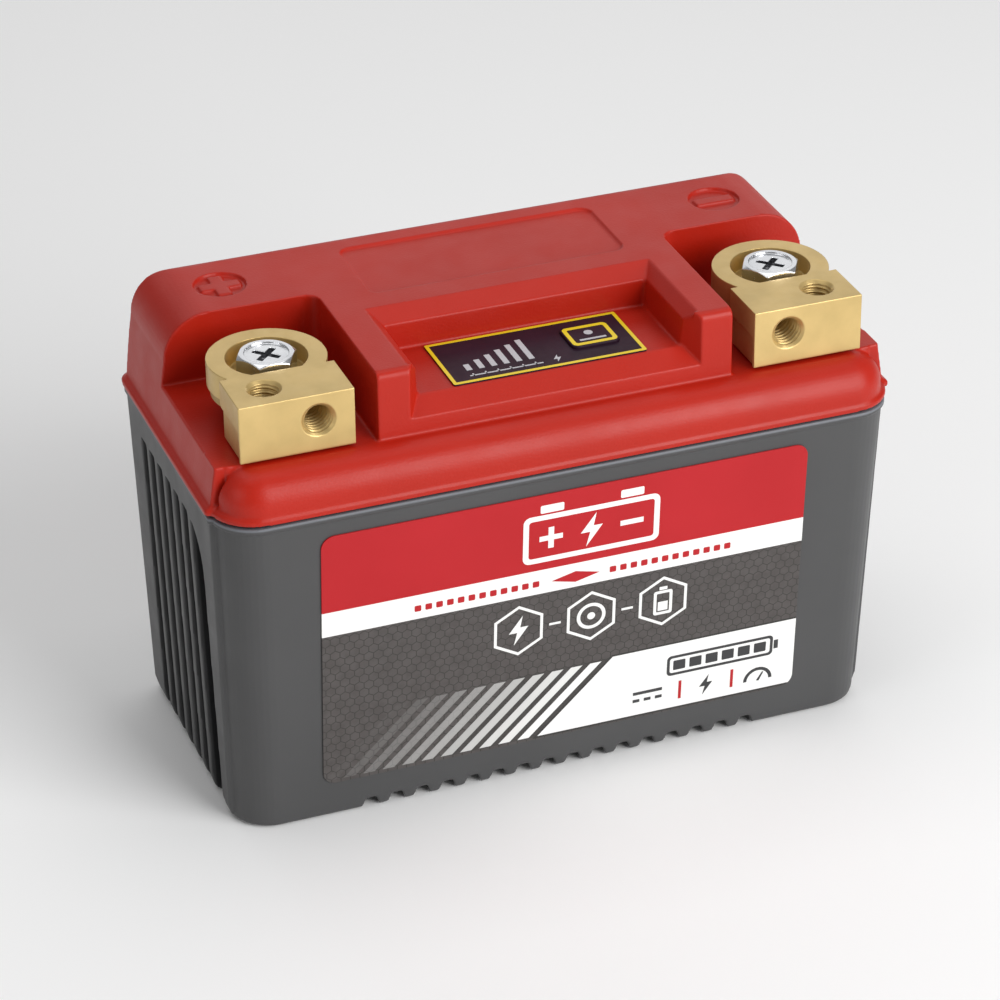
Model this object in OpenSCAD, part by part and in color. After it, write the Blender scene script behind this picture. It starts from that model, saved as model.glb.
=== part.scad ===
// Compact lithium motorcycle battery: drafted plastic case with ribbed ends,
// one-piece cover with terminal notches and a charge gauge, brass terminal
// blocks held by M6 bolts, four cylindrical cells and a balance board inside.
// Millimetres, +Z up, origin at the bottom centre of the case, front at -Y.

/* [Overall] */
// Overall length over the cover rim
body_l = 134; // [120:0.5:150]
// Overall depth over the cover rim
body_w = 64.5; // [60:0.5:70]
// Height of the cover's flat top
top_z = 90.5; // [86:0.5:96]
// Height of the joint between case and cover
split_z = 67.3; // [60:0.1:74]

/* [Case] */
// Wall thickness of the case
case_wall = 2.0; // [1.5:0.1:3]
// Pitch of the cooling ribs on both ends
rib_pitch = 5.3; // [4:0.1:7]
// Width of one cooling rib
rib_w = 2.0; // [1.2:0.1:3]
// Depth of the grooves between the ribs
rib_depth = 2.6; // [1:0.1:3]
// Height of the teeth under the case
tooth_h = 2.1; // [1:0.1:3]
// Pitch of the teeth under the case
tooth_pitch = 5.1; // [4:0.1:7]
// Half distance between the two solid feet
foot_x = 41.1; // [30:0.1:50]

/* [Cover] */
// Height of the terminal notch floors
notch_z = 77; // [72:0.5:82]
// Rear wall of the terminal notches
notch_y = 9; // [4:0.5:14]
// Inner wall of the terminal notches, from the middle
notch_x = 34.4; // [30:0.1:40]
// Height of the gauge panel
panel_z = 83; // [80:0.5:86]
// Radius of the long top shoulders
shoulder_r = 9; // [6:0.5:16]

/* [Terminals] */
// Distance of each bolt axis from the middle
term_x = 49.5; // [45:0.1:54]
// Depth position of each bolt axis
term_y = -8.4; // [-14:0.1:-4]
// Width of a brass block
block_w = 21.6; // [16:0.1:26]
// Top face of a brass block
block_top = 88.8; // [84:0.1:92]
// Tapped hole radius for the M6 cable screws
tap_r = 2.5; // [2.4:0.05:3]
// Bolt shank radius
shank_r = 3.0; // [2.4:0.05:4]
// Hole radius for the bolt in the post
post_bore_r = 3.05; // [2.45:0.01:4.05]

/* [Cells] */
// Cell radius
cell_r = 13.05; // [12:0.05:14]
// Cell height
cell_h = 65.3; // [60:0.1:70]
// Distance between neighbouring cells
cell_pitch = 26.8; // [26:0.1:29]

/* [Gauge] */
// Test button length
button_l = 9.4; // [6:0.1:12]
// Test button depth
button_d = 7.8; // [5:0.1:10]
// Middle of the test button along the case
button_x = 11.2; // [8:0.1:14]

/* [View] */
// Which piece to build

/* [Hidden] */

hx = body_l/2;
hy = body_w/2;
rise = (split_z - 0)/67.3;
front_top = -hy + 0.6;       // front face of the case at the joint
front_bot = -26.8;           // front face of the case at the base
side_top = hx - 0.8;
side_bot = hx - 2.6;
front_ang = atan((front_bot - front_top)/split_z);
side_ang = atan((side_top - side_bot)/split_z);
block_y0 = -25.8;
block_y1 = -14.4;
lug_y = term_y;              // centre of the rounded rear of a block
pocket_y = -14.25;           // straight front edge of the bolt pocket
lug_bot = 83.9;
pocket_z = 85.2;
plate_bot = 82.1;
head_z = 85.7;
cell_z0 = 5.5;
cell_top = cell_z0 + cell_h;
bar_z = cell_top + 0.4;
gx = 0.3;
gy = -13.5;
gb_top = 75.4;

module rrect(x0, y0, x1, y1, r, h) {
  linear_extrude(h) rrect2(x0, y0, x1, y1, r);
}
module rrect2(x0, y0, x1, y1, r) {
  union() {
    translate([x0 + r, y0]) square([x1 - x0 - 2*r, y1 - y0]);
    translate([x0, y0 + r]) square([x1 - x0, y1 - y0 - 2*r]);
    for (x = [x0 + r, x1 - r], y = [y0 + r, y1 - r]) translate([x, y]) circle(r, $fn = 48);
  }
}
// outline seen from above, front and rear corners with their own radii
module plan(xh, y0, y1, rf, rb, h) {
  linear_extrude(h) union() {
    polygon([[-xh + rf, y0], [xh - rf, y0], [xh, y0 + rf], [xh, y1 - rb],
             [xh - rb, y1], [-xh + rb, y1], [-xh, y1 - rb], [-xh, y0 + rf]]);
    for (s = [-1, 1]) {
      translate([s*(xh - rf), y0 + rf]) circle(rf, $fn = 40);
      translate([s*(xh - rb), y1 - rb]) circle(rb, $fn = 24);
    }
  }
}

// ---------------------------------------------------------------- case
module case_solid() {
  union() {
    // ends and rear
    hull() {
      translate([0, 0, split_z - 0.1]) plan(side_top, front_top + 7, hy - 0.9, 0.6, 2.5, 0.1);
      translate([0, 0, 3.2]) plan(side_bot + 0.08, front_bot + 5.2, hy - 2.2, 0.6, 2.5, 0.1);
      translate([0, 0, 1.0]) plan(side_bot - 0.5, front_bot + 5.5, hy - 2.8, 0.6, 2.5, 0.1);
      plan(side_bot - 1.8, front_bot + 6, hy - 3.9, 0.6, 2, 0.1);
    }
    // front bumper with large corners
    hull() {
      translate([0, 0, split_z - 0.1]) plan(side_top - 0.9, front_top, 10, 8, 2, 0.1);
      translate([0, 0, 1.6]) plan(side_bot - 0.6, front_bot - 0.12, 8, 7.6, 2, 0.1);
      translate([0, 0, 0.5]) plan(side_bot - 0.9, front_bot + 0.15, 8, 7.4, 2, 0.1);
      plan(side_bot - 1.6, front_bot + 0.6, 8, 7, 2, 0.1);
    }
    // thin lip at the joint
    translate([0, 0, split_z - 1.1]) {
      plan(hx - 0.45, -24.9, hy - 0.45, 0.5, 2.8, 1.1);
      plan(hx - 1.15, -hy + 0.3, 10, 8.2, 2, 1.1);
    }
  }
}
module rib_grooves() {
  // six narrow grooves and one wide groove at the front, inside a rounded field
  intersection() {
    union() {
      for (i = [0:5]) translate([-4, 21.0 - i*rib_pitch - (rib_pitch - rib_w), -6])
        cube([8, rib_pitch - rib_w, 90]);
      translate([-4, -17.2, -6]) cube([8, 21.0 - 6*rib_pitch + 17.2, 90]);
    }
    rotate([90, 0, 90]) translate([0, 0, -5]) linear_extrude(10) union() {
      translate([-17.2, -8]) square([38.2, 58.6]);
      translate([-7.2, -8]) square([28.2, 68.6]);
      translate([-7.2, 50.6]) circle(10, $fn = 64);
      translate([11, 50.6]) circle(10, $fn = 64);
    }
  }
}
module case_body() {
  difference() {
    case_solid();
    // cavity
    hull() {
      translate([0, 0, split_z - 2.4]) plan(hx - 5.4, front_top + case_wall + 0.2, hy - 3.2, 5, 2, 6);
      translate([0, 0, 4.6]) plan(hx - 6.6, front_bot + case_wall + 0.5, hy - 5.0, 4, 2, 0.1);
    }
    // rib fields on both ends
    for (s = [0, 1]) mirror([s, 0, 0])
      translate([-side_bot + rib_depth, 0, 0]) rotate([0, -side_ang, 0]) translate([-4, 0, 0]) rib_grooves();
    // upright grooves beside the front bumper
    for (s = [0, 1]) mirror([s, 0, 0])
      translate([-side_bot + 2.3, front_bot + 1.4, -2]) rotate([front_ang, -side_ang, 0])
        translate([-6, 0, 0]) cube([6, 1.6, split_z + 0.9]);
    // teeth under the case
    for (i = [0:15]) translate([-7.5*tooth_pitch + i*tooth_pitch, 0, 0])
      rotate([90, 0, 0]) translate([0, 0, -40]) linear_extrude(80)
        polygon([[-1.75, -1], [-1.75, 0], [-1.05, tooth_h], [1.05, tooth_h], [1.75, 0], [1.75, -1]]);
  }
}

// ---------------------------------------------------------------- cover
module shoulder2(r, x_out, z_lo, x_mid) {
  // end profile of the cover: leaning side, round shoulder, flat top
  c = hx - 12;
  zc = top_z - shoulder_r;
  union() {
    for (s = [-1, 1]) translate([s*c, zc]) circle(r, $fn = 96);
    translate([-c, z_lo]) square([2*c, zc + r - z_lo]);
    polygon([[-x_mid, zc], [x_mid, zc], [x_out, z_lo], [-x_out, z_lo]]);
  }
}
module cover_outer() {
  union() {
    // main body, extruded front to back
    intersection() {
      rotate([90, 0, 0]) translate([0, 0, -31.4]) linear_extrude(31.4 + 24.7)
        shoulder2(shoulder_r, hx - 0.9, 68, hx - 12 + shoulder_r);
      // rear top edge rounded, rear wall leaning, rear upright corners rounded
      rotate([90, 0, 90]) translate([0, 0, -70]) linear_extrude(140) union() {
        polygon([[-30, 68], [-30, top_z], [28.2, top_z], [28.2, 68]]);
        polygon([[20, 68], [20, top_z - 3], [31.0, top_z - 3], [31.4, 68]]);
        translate([28, top_z - 3]) circle(3, $fn = 48);
      }
      translate([0, 0, 60]) rrect(-hx + 0.85, -40, hx - 0.85, 31.4, 3, 40);
    }
    // body between the arms reaching a little further forward
    translate([-notch_x, -25.6, 68]) cube([2*notch_x, 10, top_z - 68]);
    // front roll
    translate([0, 0, 0]) rotate([90, 0, 90]) translate([0, 0, -(hx - 10)]) linear_extrude(2*(hx - 10)) roll2(0);
    for (s = [0, 1]) mirror([s, 0, 0]) {
      translate([-(hx - 10), -24.1, 0]) rotate([0, 0, 180]) rotate_extrude(angle = 90, $fn = 96) roll_corner2(7.8);
      translate([-(hx - 2.2), -24.15, 68]) cube([12, 6, notch_z - 68]);
    }
  }
}
module roll2(e) {
  // roll profile: x is depth, y is height
  union() {
    translate([-25.5, notch_z - 6.4]) intersection() { circle(6.4, $fn = 96); translate([-10, 0]) square([20, 10]); }
    translate([-25.5, 68]) square([20, notch_z - 68]);
    translate([-31.9, 68]) square([20, notch_z - 6.4 - 68]);
  }
}
module roll_corner2(R) {
  union() {
    translate([R - 6.4, notch_z - 6.4]) intersection() { circle(6.4, $fn = 96); square(10); }
    translate([0, 68]) square([R, notch_z - 6.4 - 68]);
    translate([0, 68]) square([R - 6.4, notch_z - 68]);
  }
}
module cover_rim() {
  union() {
    translate([0, 0, 68]) plan(hx, -25.2, hy, 0.8, 3.4, 0.9);
    translate([0, 0, 68]) plan(hx - 1.0, -hy, 10, 8.6, 2, 0.9);
    hull() {
      translate([0, 0, 68.9]) plan(hx, -25.2, hy, 0.8, 3.4, 0.02);
      translate([0, 0, 69.5]) plan(hx - 0.9, -24.9, hy - 0.9, 0.8, 3, 0.02);
    }
    hull() {
      translate([0, 0, 68.9]) plan(hx - 1.0, -hy, 10, 8.6, 2, 0.02);
      translate([0, 0, 69.3]) plan(hx - 1.6, -hy + 0.5, 10, 8.2, 2, 0.02);
    }
  }
}
module cover_cavity() {
  union() {
    // under the notch floors and the whole plan
    translate([-(hx - 5.0), -27.2, 60]) cube([2*(hx - 5.0), 27.2 + 28.6, notch_z - 2 - 60]);
    // behind the notches
    intersection() {
      rotate([90, 0, 0]) translate([0, 0, -28.6]) linear_extrude(28.6 - notch_y - 2)
        shoulder2(shoulder_r - 2.1, hx - 4, 60, hx - 14.1 + shoulder_r);
      translate([-70, 0, 60]) cube([140, 40, top_z - 2.2 - 60]);
    }
    // middle
    translate([-notch_x + 2.2, -2.2, 60]) cube([2*notch_x - 4.4, 15.2, top_z - 2.2 - 60]);
    translate([-notch_x + 2.2, -22.8, 60]) cube([2*notch_x - 4.4, 22, panel_z - 2 - 60]);
    // hollow arms
    for (s = [-1, 1]) translate([s*30.9 - 1.3, -23.2, 60]) cube([2.6, 21, top_z - 2.2 - 60]);
  }
}
module cover_body() {
  difference() {
    union() {
      difference() {
        union() {
          difference() {
            cover_outer();
            // terminal notches with a rounded inner corner
            for (s = [0, 1]) mirror([s, 0, 0]) translate([0, 0, notch_z]) linear_extrude(30) union() {
              translate([notch_x, -40]) square([60, 40 + notch_y - 3]);
              translate([notch_x + 3, -40]) square([60, 40 + notch_y]);
              translate([notch_x + 3, notch_y - 3]) circle(3, $fn = 48);
            }
          }
          cover_rim();
        }
        cover_cavity();
      }
      // collars around the terminal posts, standing down from the notch floors
      for (s = [-1, 1]) translate([s*term_x, term_y, notch_z - 4]) cylinder(h = 3, r = 8, $fn = 64);
      // stand-offs for the gauge board
      for (x = [-19, 19], y = [-20, -7]) translate([x, y, gb_top]) cylinder(h = panel_z - 1.5 - gb_top, r = 2, $fn = 32);
    }
    // gauge recess: steep lower walls, flared upper walls, sloped front
    hull() {
      translate([-25.5, -23.8, panel_z]) cube([51, 19.5, 0.01]);
      translate([-25.9, -23.8, 88.4]) cube([51.8, 19.5, 0.01]);
    }
    hull() {
      translate([-25.9, -23.8, 88.39]) cube([51.8, 19.5, 0.01]);
      translate([-28.1, -23.8, top_z]) cube([56.2, 23.3, 0.01]);
      translate([-28.6, -23.8, top_z + 0.5]) cube([57.2, 23.9, 0.01]);
    }
    intersection() {
      rotate([90, 0, 90]) translate([0, 0, -40]) linear_extrude(80)
        polygon([[-19, panel_z], [-21.9, panel_z], [-25.9, 80], [-30, 80], [-30, 96], [-19, 96]]);
      linear_extrude(100) polygon([[-25.5, -19], [25.5, -19], [25.5, -21.3], [28.3, -25.7], [28.3, -30],
                                   [-28.3, -30], [-28.3, -25.7], [-25.5, -21.3]]);
    }
    // rounded front edge of the arms
    rotate([90, 0, 90]) translate([0, 0, -40]) linear_extrude(80) difference() {
      translate([-26.2, top_z - 1.5]) square([2.1, 2]);
      translate([-24.1, top_z - 1.5]) circle(1.5, $fn = 48);
    }
    // shallow name panel left plain
    translate([0, 0, top_z - 0.5]) rrect(-25, 5, 25.8, 24.8, 2.4, 2);
    // polarity marks
    for (s = [-1, 1]) translate([s*49.8, 19, top_z - 0.7]) difference() {
      cylinder(h = 2, r = 4.9, $fn = 64);
      translate([-3.9, -1.3, -1]) cube([7.8, 2.6, 1.55]);
      if (s < 0) translate([-1.3, -3.9, -1]) cube([2.6, 7.8, 1.55]);
    }
    // terminal post holes
    for (s = [-1, 1]) translate([s*term_x, term_y, 60]) cylinder(h = 30, r = 5.25, $fn = 64);
    // seal seats
    for (s = [-1, 1]) translate([s*term_x, term_y, notch_z - 1.2]) cylinder(h = 3, r = 6.8, $fn = 64);
    // gauge openings
    translate([button_x, -13, 70]) translate([0, 0, 0]) rrect(-button_l/2 - 0.15, -button_d/2 - 0.15, button_l/2 + 0.15, button_d/2 + 0.15, 1.3, 20);
    translate([-15.6, -18.2, 78]) cube([15.6, 9.4, 10]);
    // pilot holes in the stand-offs
    for (x = [-19, 19], y = [-20, -7]) translate([x, y, gb_top - 1]) cylinder(h = 5, r = 0.85, $fn = 24);
    // upright gaps between the end cheeks and the roll
    for (s = [-1, 1]) translate([s*(hx + 1) - 5.4, -25.4, 69.6]) cube([10.8, 0.95, 12]);
  }
}
module gasket() {
  difference() {
    union() {
      translate([0, 0, split_z]) plan(hx - 1.1, -24.6, hy - 1.1, 0.5, 2.6, 0.7);
      translate([0, 0, split_z]) plan(hx - 1.9, -hy + 1.0, 10, 7.8, 2, 0.7);
    }
    translate([0, 0, split_z - 1]) plan(hx - 4.6, -hy + 2.9, hy - 2.9, 5, 2, 3);
  }
}

// ---------------------------------------------------------------- labels
module label_plate() {
  // lies on the leaning front face
  translate([0, front_bot, 0]) rotate([90 + front_ang, 0, 0])
    translate([0, 0, 0.02]) rrect(-47.8, 7.7, 47.6, 63.2, 2.6, 0.3);
}
module overlay() {
  difference() {
    translate([0, 0, panel_z]) rrect(gx - 18.8, gy - 8.2, gx + 18.8, gy + 8.2, 0.4, 0.35);
    translate([button_x, -13, panel_z - 1]) rrect(-button_l/2 - 0.1, -button_d/2 - 0.1, button_l/2 + 0.1, button_d/2 + 0.1, 1.25, 3);
  }
}

// ---------------------------------------------------------------- gauge
module button_key() {
  translate([button_x, -13, 0]) union() {
    translate([0, 0, 80.4]) rrect(-button_l/2, -button_d/2, button_l/2, button_d/2, 1.2, panel_z + 0.85 - 80.4);
    // retaining flange under the cover
    translate([0, 0, 79.9]) rrect(-button_l/2 - 0.8, -button_d/2 - 0.8, button_l/2 + 0.8, button_d/2 + 0.8, 1.2, 0.9);
  }
}
module switch_stem() {
  translate([button_x, -13, 78.6]) cylinder(h = 1.3, r = 1.75, $fn = 48);
}
module switch_box() {
  translate([button_x, -13, gb_top]) difference() {
    translate([-3, -3, 0]) cube([6, 6, 3.8]);
    translate([0, 0, 2.4]) cylinder(h = 3, r = 1.82, $fn = 48);
  }
}
module gauge_pcb() {
  difference() {
    translate([0, 0, gb_top - 1.2]) rrect(-22, -22.4, 22, -4.6, 1, 1.2);
    for (x = [-19, 19], y = [-20, -7]) translate([x, y, 70]) cylinder(h = 10, r = 1.1, $fn = 24);
  }
}
module leds() {
  for (i = [0:5]) translate([-13.9 + i*2.42 - 0.8, -14.5, gb_top]) cube([1.6, 0.8, 0.7]);
}
module guide() {
  // clear block with six fingers, one above each lamp
  union() {
    difference() {
      translate([-16.4, -19, gb_top]) cube([17.2, 11, 5.4]);
      translate([-15.4, -16.5, gb_top - 1]) cube([15.2, 4.8, 1.9]);
    }
    for (i = [0:5]) translate([-13.9 + i*2.42 - 0.7, -17.3, gb_top + 5.4]) cube([1.4, 1.8 + i*1.1, panel_z - gb_top - 5.45]);
  }
}
module gauge_screws() {
  for (x = [-19, 19], y = [-20, -7]) translate([x, y, gb_top - 1.2]) union() {
    translate([0, 0, -1.1]) cylinder(h = 1.1, r = 1.7, $fn = 32);
    cylinder(h = 4.6, r = 0.85, $fn = 24);
  }
}
module cable() {
  // flat four-way lead from the gauge board to the balance board
  translate([-4, 0, 0]) rotate([90, 0, 90]) linear_extrude(5)
    polygon([[-6.5, 74.2], [-6.5, 73.5], [3.2, 73.5], [3.2, 78.9], [8.2, 78.9], [8.2, 77.45], [8.9, 77.45], [8.9, 79.6], [2.5, 79.6], [2.5, 74.2]]);
}

// ---------------------------------------------------------------- terminals
module terminal_block(s, front_x, top_x) {
  // s is the side; the tapped holes sit at front_x and top_x
  difference() {
    union() {
      translate([s*term_x - block_w/2, block_y0, lug_bot]) cube([block_w, block_y1 - block_y0, block_top - lug_bot]);
      translate([s*term_x - block_w/2, block_y0, 77.6]) cube([block_w, 10.9, lug_bot - 77.6 + 0.1]);
      translate([s*term_x, lug_y, lug_bot]) cylinder(h = block_top - lug_bot, r = 11, $fn = 128);
    }
    // shallow relief on both flanks below the upper layer
    for (t = [-1, 1]) translate([s*term_x + t*(block_w/2 + 0.1) - 0.5, block_y0 + 0.9, 77]) cube([1.0, 20, 6.6]);
    // bolt pocket with a straight front edge
    intersection() {
      translate([s*term_x, lug_y, pocket_z]) cylinder(h = 10, r = 7.5, $fn = 96);
      translate([s*term_x - 10, pocket_y, pocket_z]) cube([20, 20, 10]);
    }
    translate([s*term_x, term_y, 80]) cylinder(h = 10, r = 3.3, $fn = 64);
    // tapped hole from above
    translate([top_x, -20, 77]) cylinder(h = 20, r = tap_r, $fn = 64);
    // tapped hole from the front
    translate([front_x, block_y0 - 1, 83.7]) rotate([-90, 0, 0]) cylinder(h = 9.6, r = tap_r, $fn = 64);
    // mouths of the tapped holes
    translate([top_x, -20, block_top - 0.8]) cylinder(h = 0.81, r1 = tap_r, r2 = tap_r + 0.81, $fn = 64);
    translate([front_x, block_y0 - 0.01, 83.7]) rotate([-90, 0, 0]) cylinder(h = 0.81, r1 = tap_r + 0.81, r2 = tap_r, $fn = 64);
  }
}
module terminal_base(s) {
  difference() {
    union() {
      translate([s*term_x, term_y, plate_bot]) cylinder(h = lug_bot - plate_bot, r = 10.4, $fn = 96);
      translate([s*term_x, term_y, bar_z + 0.9]) cylinder(h = plate_bot - bar_z - 0.9, r = 5.15, $fn = 64);
      translate([s*term_x, term_y, bar_z - 0.4]) cylinder(h = 2, r = 2.35, $fn = 48);
    }
    // front of the plate cut straight behind the block
    translate([s*term_x - 12, -30, plate_bot - 1]) cube([24, 30 - 14.85, 5]);
    translate([s*term_x, term_y, 73.2]) cylinder(h = 20, r = post_bore_r, $fn = 64);
  }
}
module terminal_washer(s) {
  translate([s*term_x, term_y, pocket_z]) difference() {
    cylinder(h = head_z - pocket_z, r = 5.5, $fn = 64);
    translate([0, 0, -1]) cylinder(h = 3, r = 3.2, $fn = 64);
  }
}
module terminal_bolt(s) {
  translate([s*term_x, term_y, head_z]) difference() {
    union() {
      // hexagon head with a chamfered top
      intersection() {
        cylinder(h = 3.9, r = 5.77, $fn = 6);
        union() {
          cylinder(h = 3.3, r = 5.9, $fn = 64);
          translate([0, 0, 3.3]) cylinder(h = 0.62, r1 = 5.78, r2 = 4.9, $fn = 64);
        }
      }
      translate([0, 0, -12]) cylinder(h = 12.1, r = shank_r, $fn = 64);
    }
    // cross recess
    for (a = [45, 135]) rotate([0, 0, a]) translate([-2.7, -0.6, 2.1]) cube([5.4, 1.2, 3]);
    // shallow dish in the head
    translate([0, 0, 3.5]) cylinder(h = 1, r = 4.1, $fn = 64);
  }
}
module terminal_seal(s) {
  translate([s*term_x, term_y, notch_z - 1.2]) difference() {
    cylinder(h = 1.3, r = 6.7, $fn = 64);
    translate([0, 0, -1]) cylinder(h = 4, r = 5.2, $fn = 64);
  }
}
module busbar(s) {
  // copper strip from the post to the middle of the end cell
  mirror([s < 0 ? 1 : 0, 0, 0]) translate([0, 0, bar_z - 0.4]) difference() {
    linear_extrude(1.3) union() {
      translate([term_x, term_y]) circle(5, $fn = 48);
      translate([1.5*cell_pitch, 0]) circle(5, $fn = 48);
      polygon([[term_x - 3.2, term_y + 3.9], [1.5*cell_pitch - 3.2, 3.9], [1.5*cell_pitch + 3.2, -3.9], [term_x + 3.2, term_y - 3.9]]);
    }
    translate([term_x, term_y, -1]) cylinder(h = 4, r = 2.4, $fn = 48);
  }
}

// ---------------------------------------------------------------- cells
module cell(i) {
  up = (i == 1 || i == 3);
  translate([(i - 2.5)*cell_pitch, 0, cell_z0]) union() {
    translate([0, 0, up ? 0 : 0.8]) cylinder(h = cell_h - 0.8, r = cell_r, $fn = 96);
    translate([0, 0, up ? cell_h - 0.8 : 0]) cylinder(h = 0.8, r = 5, $fn = 48);
  }
}
module holder_plate(z, h) {
  difference() {
    translate([0, 0, z]) rrect(-57, -21.5, 57, 25.5, 3, h);
    for (i = [0:3]) translate([(i - 1.5)*cell_pitch, 0, z - 1]) cylinder(h = h + 2, r = cell_r + 0.1, $fn = 96);
    for (x = [-40.2, -13.4, 13.4, 40.2]) translate([x, 19.6, z - 1]) cylinder(h = h + 2, r = 3.6, $fn = 48);
  }
}
module holder_top() {
  union() {
    holder_plate(64.8, 4.6);
    for (x = [-26.8, 26.8], y = [9.8, 22.2]) translate([x, y, 69.3]) difference() {
      cylinder(h = 6.7, r = 2.3, $fn = 32);
      translate([0, 0, 1.5]) cylinder(h = 6, r = 0.85, $fn = 24);
    }
  }
}
module links_bottom() {
  for (s = [-1, 1]) translate([s*cell_pitch, 0, cell_z0 - 0.4]) rrect(-cell_pitch/2 - 5, -4, cell_pitch/2 + 5, 4, 2, 0.4);
}
module link_top() {
  translate([0, 0, cell_top]) rrect(-cell_pitch/2 - 5, -4, cell_pitch/2 + 5, 4, 2, 0.4);
}
module pad() {
  translate([0, 0, 4.62]) rrect(-56, -20.5, 56, 24.5, 2, 0.44);
}
module foam(y0, y1) {
  translate([-50, y0, 14]) cube([100, y1 - y0, 46]);
}

// ---------------------------------------------------------------- balance board
module balance_pcb() {
  difference() {
    translate([0, 0, 76]) rrect(-31, 6.4, 31, 26, 1.2, 1.4);
    for (x = [-26.8, 26.8], y = [9.8, 22.2]) translate([x, y, 70]) cylinder(h = 10, r = 1.1, $fn = 24);
  }
}
module balance_screws() {
  for (x = [-26.8, 26.8], y = [9.8, 22.2]) translate([x, y, 77.4]) union() {
    cylinder(h = 1.2, r = 1.9, $fn = 32);
    translate([0, 0, -5]) cylinder(h = 5.1, r = 0.85, $fn = 24);
  }
}
module chips() {
  for (i = [0:3]) translate([-20 + i*5.4, 17.5, 77.4]) cube([4, 5, 1.5]);
  translate([4, 15.5, 77.4]) cube([7, 7, 1.2]);
}
module resistors() {
  for (i = [0:3]) translate([-20 + i*5.4 + 0.4, 11.5, 77.4]) cube([3.2, 1.6, 0.6]);
  for (i = [0:2]) translate([14.5 + i*2.6, 17, 77.4]) cube([1.2, 2, 0.7]);
}
module connector() {
  translate([12, 9.4, 77.4]) difference() {
    cube([11.5, 4.6, 4.2]);
    translate([0.9, 0.9, 1.4]) cube([9.7, 2.8, 5]);
  }
}
module leads() {
  // three sensing leads from the cell links up to the connector socket
  for (k = [0:2]) translate([13.6 + k*3.0, 0, 0]) union() {
    translate([0, 3 - k*1.2, cell_top + 0.4]) cylinder(h = 13.6, r = 0.55, $fn = 24);
    translate([0, 3 - k*1.2, cell_top + 14.0]) sphere(0.55, $fn = 24);
    translate([0, 3 - k*1.2, cell_top + 14.0]) rotate([-90, 0, 0]) cylinder(h = 8.7 + k*1.2, r = 0.55, $fn = 24);
    translate([0, 11.7, cell_top + 14.0]) sphere(0.55, $fn = 24);
    translate([0, 11.7, 79.0]) cylinder(h = cell_top + 14.0 - 79.0, r = 0.55, $fn = 24);
  }
}

color([0.36, 0.36, 0.37]) case_body();  // case
color([0.76, 0.13, 0.10]) cover_body();  // cover
color([0.06, 0.06, 0.07]) gasket();  // cover_gasket
color([0.80, 0.16, 0.18]) label_plate();  // front_label
color([0.16, 0.11, 0.15]) overlay();  // gauge_overlay
color([0.20, 0.12, 0.16]) button_key();  // test_button
color([0.9, 0.9, 0.88]) switch_stem();  // switch_plunger
color([0.1, 0.1, 0.1]) switch_box();  // switch_body
color([0.10, 0.35, 0.18]) gauge_pcb();  // gauge_board
color([0.95, 0.95, 0.8]) leds();  // gauge_leds
color([0.85, 0.9, 0.9]) guide();  // light_guide
color([0.6, 0.6, 0.62]) gauge_screws();  // gauge_board_screws
color([0.75, 0.75, 0.78]) cable();  // gauge_cable
color([0.80, 0.66, 0.36]) terminal_block(-1, -45.5, -53.7);  // terminal_block_positive
color([0.80, 0.66, 0.36]) terminal_block(1, 45.5, 53.7);  // terminal_block_negative
color([0.78, 0.60, 0.34]) terminal_base(-1);  // terminal_base_positive
color([0.78, 0.60, 0.34]) terminal_base(1);  // terminal_base_negative
color([0.75, 0.76, 0.78]) terminal_washer(-1);  // terminal_washer_positive
color([0.75, 0.76, 0.78]) terminal_washer(1);  // terminal_washer_negative
color([0.82, 0.83, 0.85]) terminal_bolt(-1);  // terminal_bolt_positive
color([0.82, 0.83, 0.85]) terminal_bolt(1);  // terminal_bolt_negative
color([0.05, 0.05, 0.05]) terminal_seal(-1);  // terminal_seal_positive
color([0.05, 0.05, 0.05]) terminal_seal(1);  // terminal_seal_negative
color([0.75, 0.42, 0.28]) busbar(-1);  // busbar_positive
color([0.75, 0.42, 0.28]) busbar(1);  // busbar_negative
color([0.16, 0.35, 0.62]) cell(1);  // cell_1
color([0.16, 0.35, 0.62]) cell(2);  // cell_2
color([0.16, 0.35, 0.62]) cell(3);  // cell_3
color([0.16, 0.35, 0.62]) cell(4);  // cell_4
color([0.12, 0.12, 0.13]) holder_top();  // cell_holder_top
color([0.12, 0.12, 0.13]) holder_plate(6.4, 4);  // cell_holder_bottom
color([0.72, 0.72, 0.70]) links_bottom();  // cell_links_bottom
color([0.72, 0.72, 0.70]) link_top();  // cell_link_top
color([0.85, 0.80, 0.62]) pad();  // base_pad
color([0.2, 0.2, 0.2]) foam(-23.2, -13.4);  // foam_front
color([0.2, 0.2, 0.2]) foam(13.4, 26.6);  // foam_rear
color([0.08, 0.30, 0.15]) balance_pcb();  // balance_board
color([0.6, 0.6, 0.62]) balance_screws();  // balance_board_screws
color([0.05, 0.05, 0.05]) chips();  // balance_chips
color([0.2, 0.2, 0.22]) resistors();  // balance_resistors
color([0.9, 0.9, 0.86]) connector();  // balance_connector
color([0.7, 0.1, 0.1]) leads();  // balance_leads
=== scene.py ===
import bpy, bmesh, math
from mathutils import Matrix, Vector


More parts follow.
